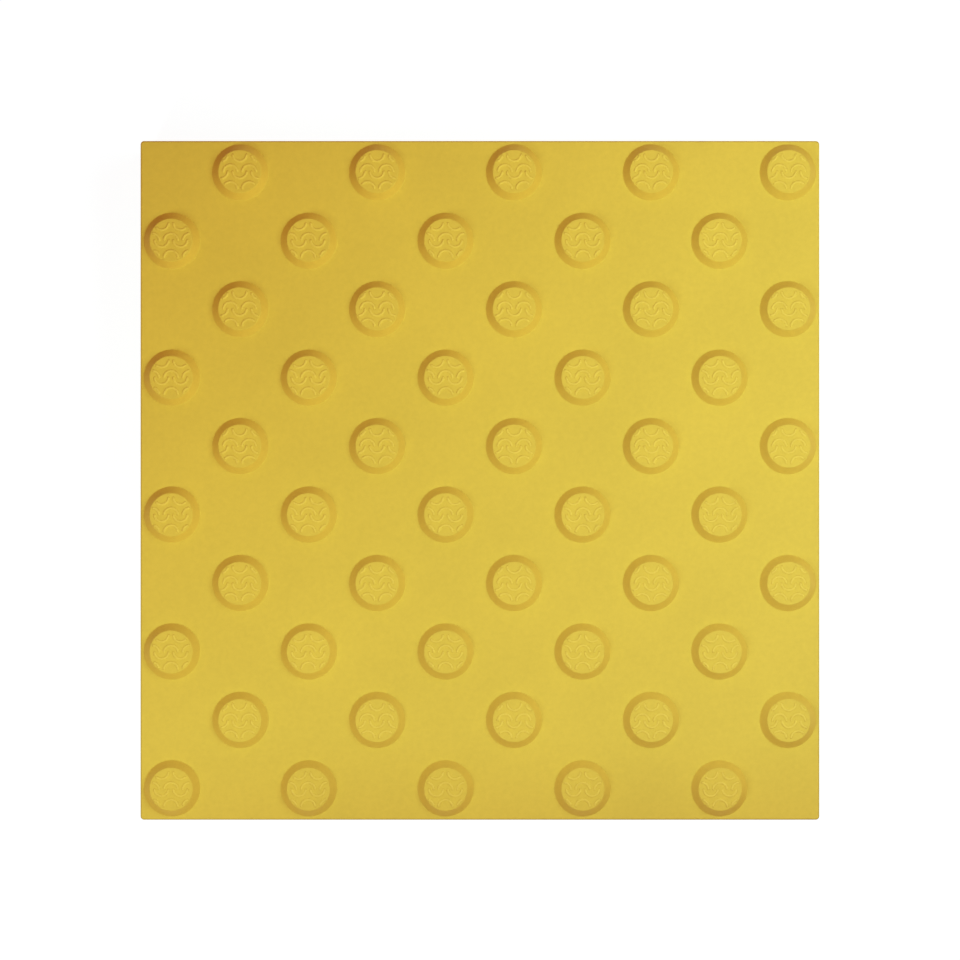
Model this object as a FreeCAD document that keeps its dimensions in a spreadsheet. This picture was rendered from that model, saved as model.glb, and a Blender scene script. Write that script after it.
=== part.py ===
"""Tactile paving slab: one concrete casting with staggered rows of flat-topped domes on its face.

The slab lies flat. Its bed face is on z = 0, centred on the origin, and its domes point up.
Lengths are in millimetres and angles in degrees.
"""
import FreeCAD, Part
import os
import Sketcher

NODE = "tactile_slab"

# Driving dimensions: alias in the sheet, value, what it measures
DIMENSIONS = (
    ("module_size", 400.0, "side of the square that one slab takes up in the paving"),
    ("joint_gap", 3.0, "gap between the faces of two neighbouring slabs"),
    ("body_thickness", 50.0, "bed face to walking face, without the domes"),
    ("side_draft", 1.0, "lean of each side, outwards towards the bed, for release from the mould"),
    ("corner_radius", 2.0, "rounding of the four upright corners"),
    ("face_arris", 1.2, "rounding along the edges of the walking face"),
    ("bed_arris", 0.8, "rounding along the edges of the bed face"),
    ("dome_step", 40.0, "distance between rows, and sideways shift from one row to the next"),
    ("dome_base_diameter", 33.0, "dome where it meets the walking face"),
    ("dome_top_diameter", 25.0, "flat top of the dome"),
    ("dome_height", 5.0, "walking face to the dome's flat top"),
)

# Worked-out sizes, as expressions on the sheet
FACE_SIZE = "(sizes.module_size - sizes.joint_gap)"
# Domes stand on the flat of the face, clear of its rounded edges, in as many rows as fit
DOME_ROOM = f"({FACE_SIZE} - 2 * sizes.face_arris - sizes.dome_base_diameter)"
ROWS = f"(floor({DOME_ROOM} / sizes.dome_step) + 1)"
FIRST_ROW = f"(-({ROWS} - 1) / 2 * sizes.dome_step)"

LEVEL_TOLERANCE = 1e-4
FULL_TURN = 360.0

# Sketch points: the two ends of a line, and the sketch's own origin
START = 1
END = 2
SKETCH_ORIGIN = (-1, START)


def make_sheet(doc):
    """Keep the driving dimensions in a spreadsheet, each under its alias."""
    sheet = doc.addObject("Spreadsheet::Sheet", "sizes")
    for row, (alias, value, meaning) in enumerate(DIMENSIONS, start=1):
        sheet.set(f"A{row}", alias)
        sheet.set(f"B{row}", str(value))
        sheet.set(f"C{row}", meaning)
        sheet.setAlias(f"B{row}", alias)
    doc.recompute()
    return sheet


def origin_feature(body, role):
    """Return one of the body's own planes or axes."""
    return next(item for item in body.Origin.OriginFeatures if item.Role == role)


def add_sketch(body, name, plane_role):
    """Add a sketch on one of the body's origin planes."""
    sketch = body.newObject("Sketcher::SketchObject", name)
    sketch.AttachmentSupport = [(origin_feature(body, plane_role), "")]
    sketch.MapMode = "FlatFace"
    return sketch


def add_outline(sketch, points):
    """Draw a closed outline through the points and join its corners."""
    count = len(points)
    for index, start in enumerate(points):
        end = points[(index + 1) % count]
        sketch.addGeometry(Part.LineSegment(FreeCAD.Vector(*start, 0), FreeCAD.Vector(*end, 0)), False)
    for index in range(count):
        constrain(sketch, "Coincident", index, END, (index + 1) % count, START)


def constrain(sketch, *rule):
    """Add one constraint to a sketch."""
    return sketch.addConstraint(Sketcher.Constraint(*rule))


def bind_size(sketch, name, way, near, far, size, expression):
    """Fix the distance along x or y between two points of a sketch, tied to the sheet."""
    number = constrain(sketch, f"Distance{way}", *near, *far, size)
    sketch.renameConstraint(number, name)
    sketch.setExpression(f"Constraints.{name}", expression)


def add_face_outline(body, sheet):
    """Draw the square of the walking face, centred on the origin."""
    sketch = add_sketch(body, "face_outline", "XY_Plane")
    side = sheet.get("module_size") - sheet.get("joint_gap")
    half = side / 2
    add_outline(sketch, ((-half, -half), (half, -half), (half, half), (-half, half)))
    for line in (0, 2):
        constrain(sketch, "Horizontal", line)
    for line in (1, 3):
        constrain(sketch, "Vertical", line)
    constrain(sketch, "Equal", 0, 1)
    constrain(sketch, "Symmetric", 0, START, 2, START, *SKETCH_ORIGIN)
    bind_size(sketch, "side", "X", (0, START), (0, END), side, FACE_SIZE)
    return sketch


def add_blank(body, sheet):
    """Raise a plain square block from the bed to the walking face."""
    pad = body.newObject("PartDesign::Pad", "blank")
    pad.Profile = add_face_outline(body, sheet)
    pad.setExpression("Length", "sizes.body_thickness")
    body.Tip = pad


def names_where(kind, pieces, wanted):
    """Return the names of the edges or faces that pass the test."""
    return [f"{kind}{number}" for number, piece in enumerate(pieces, start=1) if wanted(piece)]


def lies_at(level):
    """Make a test for edges or faces that lie in one level plane."""
    def test(piece):
        box = piece.BoundBox
        return abs(box.ZMin - level) < LEVEL_TOLERANCE and abs(box.ZMax - level) < LEVEL_TOLERANCE
    return test


def is_upright(piece):
    """Tell whether an edge or a face reaches from one level to another."""
    return piece.BoundBox.ZLength > LEVEL_TOLERANCE


def add_rounding(body, name, wanted, size):
    """Round the edges of the body so far that pass the test, to a radius from the sheet."""
    body.Document.recompute()
    base = body.Tip
    fillet = body.newObject("PartDesign::Fillet", name)
    fillet.Base = (base, names_where("Edge", base.Shape.Edges, wanted))
    fillet.setExpression("Radius", f"sizes.{size}")
    body.Tip = fillet


def add_draft(body, face_level):
    """Lean the sides outwards from the walking face, which keeps its size, to the bed."""
    body.Document.recompute()
    base = body.Tip
    draft = body.newObject("PartDesign::Draft", "sides")
    draft.Base = (base, names_where("Face", base.Shape.Faces, is_upright))
    draft.NeutralPlane = (base, names_where("Face", base.Shape.Faces, lies_at(face_level)))
    draft.setExpression("Angle", "sizes.side_draft * 1 deg")
    body.Tip = draft


def add_dome_profile(body, sheet, name, shift):
    """Draw half a dome's section on the face, some steps along from the first row and column."""
    sketch = add_sketch(body, name, "XZ_Plane")
    place = f"({FIRST_ROW} + {shift} * sizes.dome_step)"
    # The sketch's x, y and depth run along +X, +Z and -Y of the slab
    sketch.setExpression("AttachmentOffset.Base.x", place)
    sketch.setExpression("AttachmentOffset.Base.y", "sizes.body_thickness")
    sketch.setExpression("AttachmentOffset.Base.z", f"-{place}")

    height = sheet.get("dome_height")
    top_radius = sheet.get("dome_top_diameter") / 2
    base_radius = sheet.get("dome_base_diameter") / 2
    # Foot, side, flat top, axis
    add_outline(sketch, ((0, 0), (base_radius, 0), (top_radius, height), (0, height)))
    constrain(sketch, "Coincident", 0, START, *SKETCH_ORIGIN)
    for line in (0, 2):
        constrain(sketch, "Horizontal", line)
    constrain(sketch, "Vertical", 3)
    bind_size(sketch, "base_radius", "X", (0, START), (0, END), base_radius, "sizes.dome_base_diameter / 2")
    bind_size(sketch, "top_radius", "X", (2, END), (2, START), top_radius, "sizes.dome_top_diameter / 2")
    bind_size(sketch, "height", "Y", (3, END), (3, START), height, "sizes.dome_height")
    return sketch


def add_dome(body, sheet, name, shift):
    """Revolve one dome about its own upright axis."""
    profile = add_dome_profile(body, sheet, f"{name}_profile", shift)
    dome = body.newObject("PartDesign::Revolution", name)
    dome.Profile = profile
    dome.ReferenceAxis = (profile, ["V_Axis"])
    dome.Angle = FULL_TURN
    body.Tip = dome
    return dome


def add_dome_rows(body, sheet, name, shift, count):
    """Fill every second row and column with domes, starting a number of steps along."""
    dome = add_dome(body, sheet, f"{name}_dome", shift)
    body.Document.recompute()
    rows = body.newObject("PartDesign::LinearPattern", f"{name}_rows")
    rows.Originals = [dome]
    rows.Direction = (origin_feature(body, "X_Axis"), [""])
    rows.Direction2 = (origin_feature(body, "Y_Axis"), [""])
    for way in ("", "2"):
        rows.setExpression(f"Length{way}", f"({count} - 1) * 2 * sizes.dome_step")
        rows.setExpression(f"Occurrences{way}", count)
    body.Tip = rows


def make_slab(doc, sheet):
    """Build the slab: block, drafted sides, rounded edges, two interleaved sets of domes."""
    body = doc.addObject("PartDesign::Body", NODE)
    body.Label = NODE
    face_level = sheet.get("body_thickness")
    add_blank(body, sheet)
    add_rounding(body, "corners", is_upright, "corner_radius")
    add_draft(body, face_level)
    add_rounding(body, "face_edges", lies_at(face_level), "face_arris")
    add_rounding(body, "bed_edges", lies_at(0.0), "bed_arris")
    add_dome_rows(body, sheet, "outer", 0, f"ceil({ROWS} / 2)")
    add_dome_rows(body, sheet, "inner", 1, f"floor({ROWS} / 2)")
    doc.recompute()
    return body


def check(doc, body):
    """Stop if any object failed or the slab is not one sound solid."""
    for item in doc.Objects:
        if "Invalid" in item.State or "Error" in item.State:
            raise RuntimeError(f"{item.Name} failed: {item.State}")
    shape = body.Shape
    if shape.isNull() or not shape.isValid() or len(shape.Solids) != 1:
        raise RuntimeError(f"{body.Label} is not one sound solid")


def main():
    doc = FreeCAD.newDocument("tactile_paving_slab")
    body = make_slab(doc, make_sheet(doc))
    check(doc, body)
    os.makedirs("parts", exist_ok=True)
    body.Shape.exportStep(f"parts/{body.Label}.step")


main()
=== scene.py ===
"""Tactile paving slab: the looks of one yellow concrete casting, in metres, on its CAD frame."""
import math

import bmesh
import bpy
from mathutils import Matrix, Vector


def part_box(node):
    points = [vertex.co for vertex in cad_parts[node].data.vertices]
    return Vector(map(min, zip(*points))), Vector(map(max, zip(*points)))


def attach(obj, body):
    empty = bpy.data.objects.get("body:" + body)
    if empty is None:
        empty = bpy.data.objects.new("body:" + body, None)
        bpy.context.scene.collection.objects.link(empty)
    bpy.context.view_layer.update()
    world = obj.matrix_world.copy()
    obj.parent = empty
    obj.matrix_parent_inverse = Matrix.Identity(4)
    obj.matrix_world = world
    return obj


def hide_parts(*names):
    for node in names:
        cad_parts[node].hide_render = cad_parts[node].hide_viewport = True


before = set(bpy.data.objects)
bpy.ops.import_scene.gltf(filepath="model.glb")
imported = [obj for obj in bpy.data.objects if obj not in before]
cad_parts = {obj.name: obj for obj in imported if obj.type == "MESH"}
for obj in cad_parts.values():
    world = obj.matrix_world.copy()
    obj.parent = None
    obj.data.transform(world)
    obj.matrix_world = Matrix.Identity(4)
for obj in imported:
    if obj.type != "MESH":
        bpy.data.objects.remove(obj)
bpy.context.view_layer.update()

MM = 0.001
SLAB = "tactile_slab"
BODY = "root"

# Levels and reach of the casting
LOW_CORNER, HIGH_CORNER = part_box(SLAB)
BED_LEVEL = LOW_CORNER.z
DOME_TOP_LEVEL = HIGH_CORNER.z
DOME_HEIGHT = 5 * MM
FACE_LEVEL = DOME_TOP_LEVEL - DOME_HEIGHT
FACE_ARRIS = 1.2 * MM

# Rounded foot and top edge of each dome
WELD_DISTANCE = 0.001 * MM
FLAT_ANGLE = math.radians(0.1)
DOME_EDGE_WIDTH = 0.35 * MM
DOME_EDGE_ANGLE = math.radians(40)
DOME_EDGE_STEPS = 3
LARGE_FACES_ONLY = 100

# Domes: five to a row, with the rows shifted to and fro by half a space
DOME_SPACE = 80 * MM
DOMES_IN_ROW = 5
ROW_SHIFT = 20 * MM

# Grip relief on the dome tops: half rings set cup up and cap up along parallel lines
RING_RADIUS = 4.08 * MM
RING_PITCH = 10.96 * MM
LINE_PITCH = 9.93 * MM
CUP_OFFSET = 0.05 * MM
CAP_OFFSET = -0.13 * MM
RING_LEG = 0.5 * MM
RELIEF_RADIUS = 11.9 * MM
# The bead's section is an arc on a chord, with the chord sunk a little into the dome
BEAD_WIDTH = 1.9 * MM
BEAD_HEIGHT = 0.57 * MM
BEAD_SINK = 0.1 * MM
BEAD_END_SCALE = 0.3
BEAD_END_LENGTH = 0.4 * MM
RING_POINTS = 48
BEAD_POINTS = 13
BEAD_SIDES = 6
SHORTEST_BEAD = 2.5 * MM
BEAD_CREASE = math.radians(50)

# Camera, straight above the slab
SENSOR_WIDTH = 36.0
CAMERA_LENS = 95.38
CAMERA_PLACE = Vector((0.04 * MM, 0.21 * MM, FACE_LEVEL + 1487 * MM))

# Studio light: place above the walking face, width and height, power in watts, colour
KEY_LIGHT = ("key_softbox", (367 * MM, 55 * MM, 549 * MM), (797 * MM, 400 * MM), 4.02, "E7FFFA")
FILL_LIGHT = ("fill_softbox", (-396 * MM, -334 * MM, 493 * MM), (50 * MM, 300 * MM), 1.96, "E7FFFA")
ROOM_COLOUR = "FF81A5"
ROOM_STRENGTH = 0.32
FLOOR_SIZE = 60.0
BOARD_COLOUR = "F2F2F0"
BOARD_SHADE = "687B79"
BOARD_GLOW = 0.92

# Concrete colours: the colour drifts from a warm corner, at -X +Y, to a lemon one, at +X -Y, a painted
# shade tint that is warmest where the lamps light least
PAINTED_SHADE_DRIFT = 300 * MM
PIGMENT_PAINTED_SHADE_WARM = "DDC444"
PIGMENT_MID = "D9C448"
PIGMENT_PAINTED_LIGHT_LEMON = "D5C14A"
# Shades of that colour, each a tint and a tone: a painted highlight on the crests, painted shade on the
# flanks, on the rounded edge and in the air holes, and a deeper strip along the edge at -Y
CREST_PAINTED_HIGHLIGHT = ("EDF0FF", 1.3)
FLANK_PAINTED_SHADE = ("FFF9FF", 1.02)
ARRIS_PAINTED_SHADE = ("FFF8F0", 0.78)
NEAR_EDGE_SHADE = ("FFFAF6", 0.935)
HOLE_PAINTED_SHADE = ("FFFFFF", 0.6)
# Where a shade starts beside a level, and the height over which it blends in
BAND_MARGIN = 0.1 * MM
BAND_BLEND = 0.35 * MM
CREST_CEILING = DOME_TOP_LEVEL + 2 * MM
# Width of the deeper strip along the edge at -Y
NEAR_EDGE_WIDTH = 50 * MM

# Patches in the concrete: size, roughness of their outline, lowest and highest tone
CLOUDS = (60 * MM, 0.5, 0.975, 1.025)
MOTTLE = (3 * MM, 0.65, 0.97, 1.03)
BLOTCHES = (22 * MM, 0.6, 0.92, 1.04)
# Most of a noise pattern's values lie between these two
NOISE_LOW = 0.3
NOISE_HIGH = 0.7
# Air holes: distance apart, share of the places without one, and radius and rim as shares of the distance
HOLE_SPACE = 7 * MM
HOLE_FREE_SHARE = 0.5
HOLE_RADIUS = 0.18
HOLE_RIM = 0.04
HOLE_DEPTH = 0.6 * MM
# Float marks on the bed, drawn out along Y
FLOAT_MARK_WIDTH = 12 * MM
FLOAT_MARK_STRETCH = (1.0, 0.35, 1.0)
FLOAT_MARK_HEIGHT = 1.2 * MM
# Real grains of sand are 0.2 mm; they are drawn at 1 mm so that they show
GRAIN_SIZE = 1 * MM
GRAIN_HEIGHT = 0.05 * MM
GRAIN_STRENGTH = 0.15
SMOOTHEST = 0.54
ROUGHEST = 0.66
# The sides start below the face's rounded edge, and the bed is a thin layer at the bottom
SIDES_START = FACE_LEVEL - 1.5 * MM
SIDES_FULL = FACE_LEVEL - 2.5 * MM
BED_START = BED_LEVEL + 0.6 * MM
BED_FULL = BED_LEVEL + 0.1 * MM


def linear(hex_colour):
    """Turn an sRGB hex colour into linear red, green, blue and alpha."""
    channels = []
    for start in (0, 2, 4):
        value = int(hex_colour[start:start + 2], 16) / 255
        low = value / 12.92
        high = ((value + 0.055) / 1.055) ** 2.4
        channels.append(low if value <= 0.04045 else high)
    return (*channels, 1.0)


def add_node(tree, kind, inputs=None, **settings):
    """Add a node with its settings; an input takes a value, a socket, or a node's first output."""
    node = tree.nodes.new(kind)
    for name, value in settings.items():
        setattr(node, name, value)
    for name, value in (inputs or {}).items():
        source = value.outputs[0] if isinstance(value, bpy.types.Node) else value
        if isinstance(source, bpy.types.NodeSocket):
            tree.links.new(source, node.inputs[name])
        else:
            node.inputs[name].default_value = source
    return node


def add_object(name, data):
    """Add an object to the scene."""
    made = bpy.data.objects.new(name, data)
    bpy.context.scene.collection.objects.link(made)
    return made


def plain_mesh(source, name):
    """Return the mesh that an object's modifiers make, and remove the object."""
    depsgraph = bpy.context.evaluated_depsgraph_get()
    mesh = bpy.data.meshes.new_from_object(source.evaluated_get(depsgraph))
    mesh.name = name
    bpy.data.objects.remove(source)
    return mesh


# Materials

def pattern_scale(size):
    """Return the texture scale at which a noise pattern's patches have a size in metres."""
    return 1 / size


def add_pigment_with_painted_shade(tree, axes):
    """Colour the concrete, with a painted shade tint that drifts from warm at the least lit corner to lemon
    at the most lit one.
    """
    across = add_node(tree, "ShaderNodeMath", {0: axes["X"], 1: axes["Y"]}, operation="SUBTRACT")
    shade_drift = add_node(tree, "ShaderNodeMapRange", {
        "Value": across, "From Min": -PAINTED_SHADE_DRIFT, "From Max": PAINTED_SHADE_DRIFT})
    colour = add_node(tree, "ShaderNodeValToRGB", {"Fac": shade_drift})
    ramp = colour.color_ramp.elements
    ramp[0].color = linear(PIGMENT_PAINTED_SHADE_WARM)
    ramp[1].color = linear(PIGMENT_PAINTED_LIGHT_LEMON)
    ramp.new(0.5).color = linear(PIGMENT_MID)
    return colour


def add_level_band(tree, axes, low, high):
    """Return a value that is 1 between two levels and 0 below and above them."""
    off_middle = add_node(tree, "ShaderNodeMath", {
        0: axes["Z"], 1: (low + high) / 2}, operation="SUBTRACT")
    away = add_node(tree, "ShaderNodeMath", {0: off_middle}, operation="ABSOLUTE")
    half = (high - low) / 2
    return add_node(tree, "ShaderNodeMapRange", {
        "Value": away, "From Min": half, "From Max": half - BAND_BLEND})


def add_arris_painted_shade(tree, axes):
    """Return the share of painted shade on the face's rounded edge: 1 at -Y, falling to 0 at +Y."""
    edge = add_level_band(tree, axes, FACE_LEVEL - FACE_ARRIS, FACE_LEVEL - BAND_MARGIN / 2)
    depth = add_node(tree, "ShaderNodeMapRange", {
        "Value": axes["Y"], "From Min": HIGH_CORNER.y, "From Max": LOW_CORNER.y})
    return add_node(tree, "ShaderNodeMath", {0: edge, 1: depth}, operation="MULTIPLY")


def add_near_edge(tree, axes):
    """Return a value that rises from 0 to 1 over the last stretch of the casting towards -Y."""
    return add_node(tree, "ShaderNodeMapRange", {
        "Value": axes["Y"], "From Min": LOW_CORNER.y + NEAR_EDGE_WIDTH, "From Max": LOW_CORNER.y})


def add_shade(tree, share, shade):
    """Return a factor for the colour: 1 where the share is 0, and the shade where the share is 1."""
    tint, tone = shade
    change = [channel * tone - 1 for channel in linear(tint)[:3]]
    return add_node(tree, "ShaderNodeVectorMath", {
        0: share, 1: change, 2: (1, 1, 1)}, operation="MULTIPLY_ADD")


def add_patches(tree, place, patches):
    """Return a tone that wanders between a low and a high one, in patches of a size."""
    size, roughness, low, high = patches
    noise = add_node(tree, "ShaderNodeTexNoise", {
        "Vector": place, "Scale": pattern_scale(size), "Detail": 3.0, "Roughness": roughness})
    return add_node(tree, "ShaderNodeMapRange", {
        "Value": noise, "From Min": NOISE_LOW, "From Max": NOISE_HIGH, "To Min": low, "To Max": high})


def add_below_face(tree, axes):
    """Return a value that is 1 on the sides and the bed and 0 on the walking face and its domes."""
    return add_node(tree, "ShaderNodeMapRange", {
        "Value": axes["Z"], "From Min": SIDES_START, "From Max": SIDES_FULL})


def add_pinholes(tree, place, below_face):
    """Return the depth, from 0 to 1, of the air holes that the mould's sides leave."""
    cells = add_node(tree, "ShaderNodeTexVoronoi", {"Vector": place, "Scale": pattern_scale(HOLE_SPACE)})
    chance = add_node(tree, "ShaderNodeTexWhiteNoise", {"Vector": cells.outputs["Color"]})
    radius = add_node(tree, "ShaderNodeMapRange", {
        "Value": chance, "From Min": HOLE_FREE_SHARE, "From Max": 1.0, "To Max": HOLE_RADIUS})
    inside = add_node(tree, "ShaderNodeMath", {
        0: radius, 1: cells.outputs["Distance"]}, operation="SUBTRACT")
    depth = add_node(tree, "ShaderNodeMapRange", {"Value": inside, "From Max": HOLE_RIM})
    return add_node(tree, "ShaderNodeMath", {0: depth, 1: below_face}, operation="MULTIPLY")


def add_blotches(tree, place, below_face):
    """Return the tone of the damp blotches that the sides and the bed keep from the mould."""
    tone = add_patches(tree, place, BLOTCHES)
    return add_node(tree, "ShaderNodeMix", {"Factor": below_face, "A": 1.0, "B": tone})


def add_floated_bed(tree, place, axes):
    """Return the height, from 0 to 1, of the float marks that show on the bed only."""
    long_marks = add_node(tree, "ShaderNodeMapping", {"Vector": place, "Scale": FLOAT_MARK_STRETCH})
    marks = add_node(tree, "ShaderNodeTexNoise", {
        "Vector": long_marks, "Scale": pattern_scale(FLOAT_MARK_WIDTH),
        "Detail": 3.0, "Roughness": 0.55, "Distortion": 0.8})
    on_bed = add_node(tree, "ShaderNodeMapRange", {
        "Value": axes["Z"], "From Min": BED_START, "From Max": BED_FULL})
    return add_node(tree, "ShaderNodeMath", {0: marks, 1: on_bed}, operation="MULTIPLY")


def make_concrete():
    """Wet-cast concrete, pigmented right through and cast face down against a smooth mould.

    The eye gets an even, slightly satin yellow with faint clouds and a fine mottle. Its colour drifts
    from warm to lemon across the casting, a painted shade tint on the least lit corner. Painted shade
    makes the domes' flanks and the face's rounded edge deeper in colour, and a painted highlight makes
    the crests of the relief paler. The sides have small air holes, with painted shade in them, and the
    bed shows the marks of the float.
    """
    material = bpy.data.materials.new("pigmented_concrete_smooth_cast")
    material.use_nodes = True
    tree = material.node_tree
    tree.nodes.clear()
    place = add_node(tree, "ShaderNodeTexCoord").outputs["Object"]
    axes = add_node(tree, "ShaderNodeSeparateXYZ", {"Vector": place}).outputs
    below_face = add_below_face(tree, axes)
    holes = add_pinholes(tree, place, below_face)
    marks = add_floated_bed(tree, place, axes)

    # The pigment carries a painted shade tint, warm at the least lit corner and lemon at the most lit one
    colour = add_pigment_with_painted_shade(tree, axes)
    # Painted highlight pales the crests of the relief; painted shade deepens the domes' flanks and the
    # face's rounded edge, most towards -Y
    crests = add_level_band(tree, axes, DOME_TOP_LEVEL + BAND_MARGIN, CREST_CEILING)
    flanks = add_level_band(tree, axes, FACE_LEVEL + BAND_MARGIN, DOME_TOP_LEVEL - BAND_MARGIN)
    tones = (
        # Painted highlight on the crests of the relief
        add_shade(tree, crests, CREST_PAINTED_HIGHLIGHT),
        # Painted shade on the domes' flanks, deeper and warmer in colour
        add_shade(tree, flanks, FLANK_PAINTED_SHADE),
        # Painted shade on the face's rounded edge, darkest at -Y
        add_shade(tree, add_arris_painted_shade(tree, axes), ARRIS_PAINTED_SHADE),
        add_shade(tree, add_near_edge(tree, axes), NEAR_EDGE_SHADE),
        # Painted shade in the air holes
        add_shade(tree, holes, HOLE_PAINTED_SHADE),
        add_patches(tree, place, CLOUDS),
        add_patches(tree, place, MOTTLE),
        add_blotches(tree, place, below_face))
    for tone in tones:
        colour = add_node(tree, "ShaderNodeVectorMath", {0: colour, 1: tone}, operation="MULTIPLY")

    grain = add_node(tree, "ShaderNodeTexNoise", {
        "Vector": place, "Scale": pattern_scale(GRAIN_SIZE), "Detail": 2.0, "Roughness": 0.6})
    roughness = add_node(tree, "ShaderNodeMapRange", {
        "Value": grain, "To Min": SMOOTHEST, "To Max": ROUGHEST})
    sanded = add_node(tree, "ShaderNodeBump", {
        "Strength": GRAIN_STRENGTH, "Distance": GRAIN_HEIGHT, "Height": grain})
    pitted = add_node(tree, "ShaderNodeBump", {
        "Distance": HOLE_DEPTH, "Height": holes, "Normal": sanded}, invert=True)
    floated = add_node(tree, "ShaderNodeBump", {
        "Distance": FLOAT_MARK_HEIGHT, "Height": marks, "Normal": pitted})
    surface = add_node(tree, "ShaderNodeBsdfPrincipled", {
        "Base Color": colour, "Roughness": roughness, "Normal": floated,
        "IOR": 1.5, "Specular IOR Level": 0.1})
    add_node(tree, "ShaderNodeOutputMaterial", {"Surface": surface})
    return material


def seen_directly(tree):
    """Return a value that is 1 for rays from the camera, from gloss and through glass."""
    path = add_node(tree, "ShaderNodeLightPath").outputs
    shiny = add_node(tree, "ShaderNodeMath", {
        0: path["Is Glossy Ray"], 1: path["Is Transmission Ray"]}, operation="MAXIMUM")
    return add_node(tree, "ShaderNodeMath", {0: path["Is Camera Ray"], 1: shiny}, operation="MAXIMUM")


def make_studio_floor_paint():
    """Matt white board: white where it is seen, with the slab's soft shadow left on it."""
    material = bpy.data.materials.new("white_studio_board_matt")
    material.use_nodes = True
    tree = material.node_tree
    tree.nodes.clear()
    board = add_node(tree, "ShaderNodeBsdfDiffuse", {"Color": linear(BOARD_COLOUR)})
    shade = add_node(tree, "ShaderNodeBsdfDiffuse", {"Color": linear(BOARD_SHADE)})
    glow = add_node(tree, "ShaderNodeEmission", {"Strength": BOARD_GLOW})
    seen = add_node(tree, "ShaderNodeAddShader", {0: shade, 1: glow})
    surface = add_node(tree, "ShaderNodeMixShader", {"Fac": seen_directly(tree), 1: board, 2: seen})
    add_node(tree, "ShaderNodeOutputMaterial", {"Surface": surface})
    return material


# Slab

def make_slab(concrete):
    """Merge a copy of the casting and round the foot and the top edge of every dome."""
    merged = bmesh.new()
    merged.from_mesh(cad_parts[SLAB].data)
    bmesh.ops.remove_doubles(merged, verts=merged.verts, dist=WELD_DISTANCE)
    bmesh.ops.dissolve_limit(
        merged, angle_limit=FLAT_ANGLE, verts=merged.verts, edges=merged.edges)
    for face in merged.faces:
        face.smooth = True
    mesh = bpy.data.meshes.new("slab_blank")
    merged.to_mesh(mesh)
    merged.free()
    mesh.materials.append(concrete)

    blank = add_object("slab_blank", mesh)
    bevel = blank.modifiers.new("dome_edges", "BEVEL")
    bevel.width = DOME_EDGE_WIDTH
    bevel.segments = DOME_EDGE_STEPS
    bevel.limit_method = "ANGLE"
    bevel.angle_limit = DOME_EDGE_ANGLE
    bevel.use_clamp_overlap = False
    # The large flat faces keep their own normals, and the narrow strips between them turn
    shading = blank.modifiers.new("flat_faces_stay_flat", "WEIGHTED_NORMAL")
    shading.weight = LARGE_FACES_ONLY
    slab = add_object("slab_casting", plain_mesh(blank, "slab_casting"))
    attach(slab, BODY)
    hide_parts(SLAB)


# Grip relief

def add_sizes(tree, sizes):
    """Give a node tree its named inputs and return the sockets that they come out of."""
    for name, kind in sizes:
        tree.interface.new_socket(name, in_out="INPUT", socket_type=kind)
    tree.interface.new_socket("Geometry", in_out="OUTPUT", socket_type="NodeSocketGeometry")
    return add_node(tree, "NodeGroupInput").outputs


RELIEF_INPUTS = (
    ("Cups in line", "NodeSocketInt"),
    ("Caps in line", "NodeSocketInt"),
    ("Row shift", "NodeSocketFloat"),
    ("Ring radius", "NodeSocketFloat"),
    ("Ring pitch", "NodeSocketFloat"),
    ("Line pitch", "NodeSocketFloat"),
    ("Relief radius", "NodeSocketFloat"),
    ("Bead width", "NodeSocketFloat"),
    ("Bead height", "NodeSocketFloat"),
    ("Dome space", "NodeSocketFloat"),
    ("Chord level", "NodeSocketFloat"),
    ("Material", "NodeSocketMaterial"),
)


def add_half_rings(tree, sizes, count, start_angle, line_middle):
    """Set half rings with short legs along two lines, and return their centre lines."""
    leg = RING_LEG / RING_RADIUS
    ring = add_node(tree, "GeometryNodeCurveArc", {
        "Resolution": RING_POINTS, "Radius": sizes["Ring radius"],
        "Start Angle": start_angle - leg, "Sweep Angle": math.pi + 2 * leg}, mode="RADIUS")
    gaps = add_node(tree, "ShaderNodeMath", {0: count, 1: 1.0}, operation="SUBTRACT")
    line_length = add_node(tree, "ShaderNodeMath", {0: gaps, 1: sizes["Ring pitch"]}, operation="MULTIPLY")
    lines = add_node(tree, "GeometryNodeMeshGrid", {
        "Size X": line_length, "Size Y": sizes["Line pitch"], "Vertices X": count, "Vertices Y": 2})
    place = add_node(tree, "GeometryNodeTransform", {
        "Geometry": lines, "Translation": (0, line_middle, 0)})
    rings = add_node(tree, "GeometryNodeInstanceOnPoints", {"Points": place, "Instance": ring})
    return add_node(tree, "GeometryNodeRealizeInstances", {"Geometry": rings})


def keep_inside(tree, lines, sizes):
    """Cut the centre lines at a circle inside the dome's edge, and drop the scraps."""
    place = add_node(tree, "GeometryNodeInputPosition")
    reach = add_node(tree, "ShaderNodeVectorMath", {0: place}, operation="LENGTH")
    outside = add_node(tree, "FunctionNodeCompare", {
        "A": reach.outputs["Value"], "B": sizes["Relief radius"]},
        data_type="FLOAT", operation="GREATER_THAN")
    kept = add_node(tree, "GeometryNodeDeleteGeometry", {
        "Geometry": lines, "Selection": outside}, domain="POINT")
    length = add_node(tree, "GeometryNodeSplineLength")
    short = add_node(tree, "FunctionNodeCompare", {
        "A": length, "B": SHORTEST_BEAD}, data_type="FLOAT", operation="LESS_THAN")
    return add_node(tree, "GeometryNodeDeleteGeometry", {
        "Geometry": kept, "Selection": short}, domain="CURVE")


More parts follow.
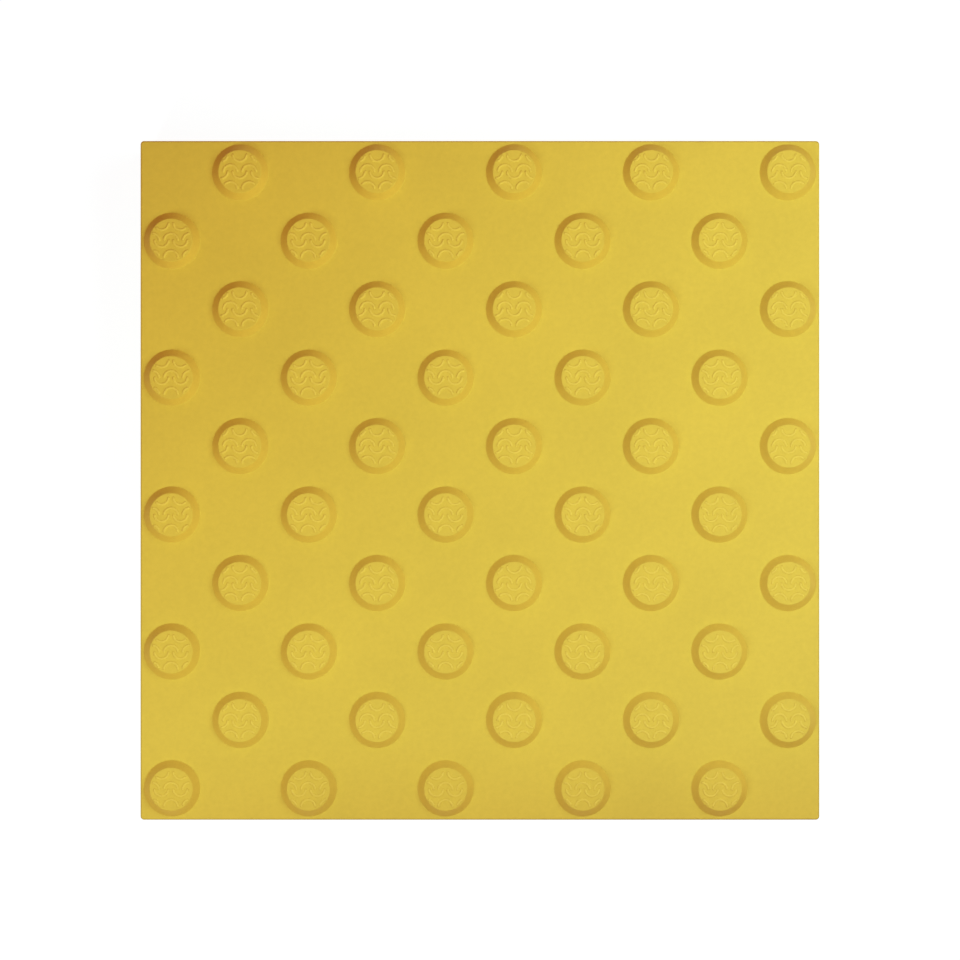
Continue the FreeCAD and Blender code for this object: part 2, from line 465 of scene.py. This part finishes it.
def gather_points_at_ends(tree, lines):
    """Give each centre line a few points, close together at its ends and wide apart in the middle."""
    few = add_node(tree, "GeometryNodeResampleCurve", {"Curve": lines, "Count": BEAD_POINTS}, mode="COUNT")
    along = add_node(tree, "GeometryNodeSplineParameter")
    turn = add_node(tree, "ShaderNodeMath", {0: along, 1: math.pi}, operation="MULTIPLY")
    swing = add_node(tree, "ShaderNodeMath", {0: turn}, operation="COSINE")
    eased = add_node(tree, "ShaderNodeMapRange", {"Value": swing, "From Min": 1.0, "From Max": -1.0})
    own_line = add_node(tree, "GeometryNodeCurveOfPoint")
    there = add_node(tree, "GeometryNodeSampleCurve", {
        "Curves": lines, "Factor": eased, "Curve Index": own_line}, mode="FACTOR")
    moved = add_node(tree, "GeometryNodeSetPosition", {
        "Geometry": few, "Position": there.outputs["Position"]})
    return add_node(tree, "GeometryNodeSetCurveNormal", {"Curve": moved}, mode="Z_UP")


def add_bead_section(tree, sizes):
    """Draw a bead's section: a flat arc of a circle, closed by its chord; the section's -Y points up."""
    half_width = add_node(tree, "ShaderNodeMath", {0: sizes["Bead width"], 1: 2.0}, operation="DIVIDE")
    rise = add_node(tree, "ShaderNodeMath", {0: sizes["Bead height"], 1: half_width}, operation="ARCTAN2")
    half_angle = add_node(tree, "ShaderNodeMath", {0: rise, 1: 2.0}, operation="MULTIPLY")
    sine = add_node(tree, "ShaderNodeMath", {0: half_angle}, operation="SINE")
    radius = add_node(tree, "ShaderNodeMath", {0: half_width, 1: sine}, operation="DIVIDE")
    start = add_node(tree, "ShaderNodeMath", {0: -math.pi / 2, 1: half_angle}, operation="SUBTRACT")
    sweep = add_node(tree, "ShaderNodeMath", {0: half_angle, 1: 2.0}, operation="MULTIPLY")
    arc = add_node(tree, "GeometryNodeCurveArc", {
        "Resolution": BEAD_SIDES, "Radius": radius,
        "Start Angle": start, "Sweep Angle": sweep}, mode="RADIUS")
    drop = add_node(tree, "ShaderNodeMath", {0: radius, 1: sizes["Bead height"]}, operation="SUBTRACT")
    down = add_node(tree, "ShaderNodeCombineXYZ", {"Y": drop})
    section = add_node(tree, "GeometryNodeTransform", {"Geometry": arc, "Translation": down})
    return add_node(tree, "GeometryNodeSetSplineCyclic", {"Geometry": section, "Cyclic": True})


def add_beads(tree, lines, sizes):
    """Lay a bead with rounded ends along each centre line."""
    along = add_node(tree, "GeometryNodeSplineParameter").outputs["Length"]
    length = add_node(tree, "GeometryNodeSplineLength")
    rest = add_node(tree, "ShaderNodeMath", {0: length, 1: along}, operation="SUBTRACT")
    nearer = add_node(tree, "ShaderNodeMath", {0: along, 1: rest}, operation="MINIMUM")
    taper = add_node(tree, "ShaderNodeMapRange", {
        "Value": nearer, "From Max": BEAD_END_LENGTH, "To Min": BEAD_END_SCALE})
    return add_node(tree, "GeometryNodeCurveToMesh", {
        "Curve": lines, "Profile Curve": add_bead_section(tree, sizes), "Scale": taper, "Fill Caps": True})


def set_on_domes(tree, beads, sizes):
    """Set the relief of one dome on every dome of every second row."""
    row_length = add_node(tree, "ShaderNodeMath", {
        0: sizes["Dome space"], 1: DOMES_IN_ROW - 1.0}, operation="MULTIPLY")
    domes = add_node(tree, "GeometryNodeMeshGrid", {
        "Size X": row_length, "Size Y": row_length, "Vertices X": DOMES_IN_ROW, "Vertices Y": DOMES_IN_ROW})
    shift = add_node(tree, "ShaderNodeCombineXYZ", {
        "X": sizes["Row shift"], "Y": sizes["Row shift"], "Z": sizes["Chord level"]})
    tops = add_node(tree, "GeometryNodeTransform", {"Geometry": domes, "Translation": shift})
    reliefs = add_node(tree, "GeometryNodeInstanceOnPoints", {"Points": tops, "Instance": beads})
    return add_node(tree, "GeometryNodeRealizeInstances", {"Geometry": reliefs})


def make_relief_tree():
    """Build the tree that lays rounded beads along half rings on every dome of every second row."""
    tree = bpy.data.node_groups.new("grip_relief", "GeometryNodeTree")
    sizes = add_sizes(tree, RELIEF_INPUTS)
    cups = add_half_rings(tree, sizes, sizes["Cups in line"], math.pi, LINE_PITCH / 2 + CUP_OFFSET)
    caps = add_half_rings(tree, sizes, sizes["Caps in line"], 0.0, CAP_OFFSET - LINE_PITCH / 2)
    both = add_node(tree, "GeometryNodeJoinGeometry", {"Geometry": cups})
    tree.links.new(caps.outputs["Geometry"], both.inputs["Geometry"])
    lines = gather_points_at_ends(tree, keep_inside(tree, both, sizes))
    beads = add_beads(tree, lines, sizes)
    painted = add_node(tree, "GeometryNodeSetMaterial", {
        "Geometry": set_on_domes(tree, beads, sizes), "Material": sizes["Material"]})
    add_node(tree, "NodeGroupOutput", {"Geometry": painted})
    return tree


def make_relief(tree, name, layout, concrete):
    """Lay the relief of every second row of domes and make it a plain mesh."""
    carrier = add_object(f"{name}_carrier", bpy.data.meshes.new(f"{name}_carrier"))
    modifier = carrier.modifiers.new("grip_relief", "NODES")
    modifier.node_group = tree
    values = {
        "Ring radius": RING_RADIUS, "Ring pitch": RING_PITCH, "Line pitch": LINE_PITCH,
        "Relief radius": RELIEF_RADIUS, "Bead width": BEAD_WIDTH, "Bead height": BEAD_HEIGHT,
        "Dome space": DOME_SPACE, "Chord level": DOME_TOP_LEVEL - BEAD_SINK, "Material": concrete, **layout}
    for socket in tree.interface.items_tree:
        if socket.in_out == "INPUT":
            modifier[socket.identifier] = values[socket.name]
    mesh = plain_mesh(carrier, name)
    mesh.shade_smooth()
    mesh.set_sharp_from_angle(angle=BEAD_CREASE)
    relief = add_object(name, mesh)
    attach(relief, BODY)


# Studio

def add_camera():
    """Put the camera straight above the slab, with the top of the picture towards +Y."""
    camera = bpy.data.cameras.new("camera")
    camera.sensor_width = SENSOR_WIDTH
    camera.lens = CAMERA_LENS
    made = add_object("camera", camera)
    made.location = CAMERA_PLACE
    bpy.context.scene.camera = made


def add_softbox(name, place, size, power, colour):
    """Add a rectangular lamp that is aimed at the middle of the walking face."""
    lamp = bpy.data.lights.new(name, "AREA")
    lamp.shape = "RECTANGLE"
    lamp.size, lamp.size_y = size
    lamp.energy = power
    lamp.color = linear(colour)[:3]
    made = add_object(name, lamp)
    made.location = Vector(place) + Vector((0, 0, FACE_LEVEL))
    made.rotation_euler = (-Vector(place)).to_track_quat("-Z", "Y").to_euler()
    made.visible_camera = False


def light_room():
    """Fill the room with a weak warm light, and show it white."""
    world = bpy.data.worlds.new("studio_room")
    world.use_nodes = True
    tree = world.node_tree
    tree.nodes.clear()
    room = add_node(tree, "ShaderNodeBackground", {
        "Color": linear(ROOM_COLOUR), "Strength": ROOM_STRENGTH})
    white = add_node(tree, "ShaderNodeBackground", {"Color": (1, 1, 1, 1), "Strength": 1.0})
    shown = add_node(tree, "ShaderNodeMixShader", {
        "Fac": seen_directly(tree), 1: room, 2: white})
    add_node(tree, "ShaderNodeOutputWorld", {"Surface": shown})
    bpy.context.scene.world = world


def add_floor():
    """Lay the white board that the slab lies on."""
    square = bmesh.new()
    bmesh.ops.create_grid(square, x_segments=1, y_segments=1, size=FLOOR_SIZE / 2)
    bmesh.ops.translate(square, verts=square.verts, vec=(0, 0, BED_LEVEL))
    mesh = bpy.data.meshes.new("studio_floor")
    square.to_mesh(mesh)
    square.free()
    mesh.materials.append(make_studio_floor_paint())
    add_object("studio_floor", mesh)


def build():
    """Dress the casting and set up the studio."""
    concrete = make_concrete()
    make_slab(concrete)
    relief = make_relief_tree()
    make_relief(relief, "grip_relief_outer", {
        "Cups in line": 3, "Caps in line": 2, "Row shift": ROW_SHIFT}, concrete)
    make_relief(relief, "grip_relief_inner", {
        "Cups in line": 2, "Caps in line": 3, "Row shift": -ROW_SHIFT}, concrete)
    add_camera()
    add_softbox(*KEY_LIGHT)
    add_softbox(*FILL_LIGHT)
    light_room()
    add_floor()
    bpy.context.scene.view_settings.view_transform = "Standard"


build()
